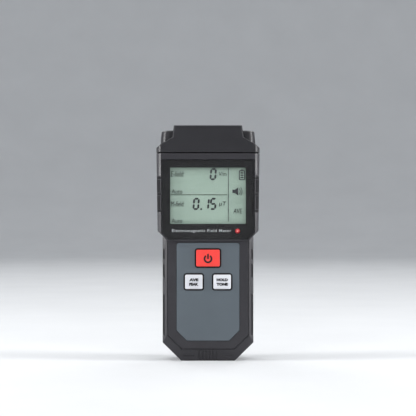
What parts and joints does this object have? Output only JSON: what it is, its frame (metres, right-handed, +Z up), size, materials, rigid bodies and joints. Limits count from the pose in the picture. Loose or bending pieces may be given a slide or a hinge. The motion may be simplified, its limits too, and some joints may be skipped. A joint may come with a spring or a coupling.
{
  "type": "electromagnetic field meter",
  "caption": "Hand-held field meter: stepped sensor cap, wide head with a display window, narrower handle with a red key over white keys, battery cover on the back.",
  "frame": {"origin": "under the middle of the lower end, on the surface that the upright meter stands on", "axes": "+X to the user's right, -Y out of the display, +Z up towards the sensor cap"},
  "size_m": [0.061, 0.028, 0.138],
  "materials": {
    "shell_plastic": "fine-textured charcoal ABS",
    "cap_plastic": "fine-textured charcoal ABS",
    "window_acrylic": "clear acrylic printed gloss black on its back round the display",
    "overlay_film": "satin blue-grey printed film",
    "red_key_plastic": "satin red plastic with a printed mark",
    "white_key_plastic": "satin white plastic with printed labels",
    "led_epoxy": "diffused red epoxy",
    "lcd_panel": "grey-green liquid crystal glass",
    "white_plastic": "white moulded plastic",
    "black_plastic": "black moulded epoxy",
    "board_laminate": "green solder-masked glass laminate",
    "silicone_rubber": "grey silicone rubber",
    "carbon_rubber": "black conductive rubber",
    "zinc_steel": "zinc-plated steel",
    "nickel_steel": "nickel-plated spring steel",
    "copper": "bare copper",
    "ferrite": "dark grey ferrite",
    "cell_sleeve": "printed metal sleeve, plain",
    "aluminium": "bright drawn aluminium",
    "foam": "black closed-cell foam",
    "red_wire": "red wire insulation",
    "black_wire": "black wire insulation"
  },
  "bodies": {
    "housing": {"front_shell": "shell_plastic", "rear_shell": "shell_plastic", "sensor_cap": "cap_plastic", "display_window": "window_acrylic", "keypad_overlay": "overlay_film", "keypad_mat": "silicone_rubber", "lcd_panel": "lcd_panel", "backlight_panel": "white_plastic", "lcd_frame": "white_plastic", "lcd_connector": "silicone_rubber", "alarm_led": "led_epoxy", "main_board": "board_laminate", "microcontroller": "black_plastic", "amplifier_chip": "black_plastic", "regulator_chip": "black_plastic", "crystal": "aluminium", "filter_capacitor": "aluminium", "buzzer": "black_plastic", "coil_core": "ferrite", "coil_bobbin": "white_plastic", "coil_winding": "copper", "field_plate": "copper", "battery_cell_left": "cell_sleeve", "battery_cell_middle": "cell_sleeve", "battery_cell_right": "cell_sleeve", "battery_spring_left": "nickel_steel", "battery_spring_middle": "nickel_steel", "battery_spring_right": "nickel_steel", "bottom_contact_bridge": "nickel_steel", "top_contact_bridge": "nickel_steel", "negative_contact": "nickel_steel", "positive_contact": "nickel_steel", "positive_lead": "red_wire", "negative_lead": "black_wire", "case_screw_top_left": "zinc_steel", "case_screw_top_right": "zinc_steel", "case_screw_middle_left": "zinc_steel", "case_screw_middle_right": "zinc_steel", "board_screw_top_left": "zinc_steel", "board_screw_top_right": "zinc_steel", "board_screw_bottom_left": "zinc_steel", "board_screw_bottom_right": "zinc_steel"},
    "power_key": {"power_key": "red_key_plastic", "power_contact_pill": "carbon_rubber"},
    "mode_key": {"mode_key": "white_key_plastic", "mode_contact_pill": "carbon_rubber"},
    "hold_key": {"hold_key": "white_key_plastic", "hold_contact_pill": "carbon_rubber"},
    "battery_cover": {"battery_cover": "shell_plastic", "cover_pad": "foam"}
  },
  "joints": [
    {"name": "power_key_press", "type": "slide", "parent": "housing", "child": "power_key", "axis": [0, 1, 0], "range_m": [0, 0.001], "stiffness_N_per_m": 1500},
    {"name": "mode_key_press", "type": "slide", "parent": "housing", "child": "mode_key", "axis": [0, 1, 0], "range_m": [0, 0.001], "stiffness_N_per_m": 1500},
    {"name": "hold_key_press", "type": "slide", "parent": "housing", "child": "hold_key", "axis": [0, 1, 0], "range_m": [0, 0.001], "stiffness_N_per_m": 1500},
    {"name": "battery_cover_hinge", "type": "hinge", "parent": "housing", "child": "battery_cover", "pos_m": [0, 0.0136, 0.009], "axis": [-1, 0, 0], "range_deg": [0, 75]}
  ]
}
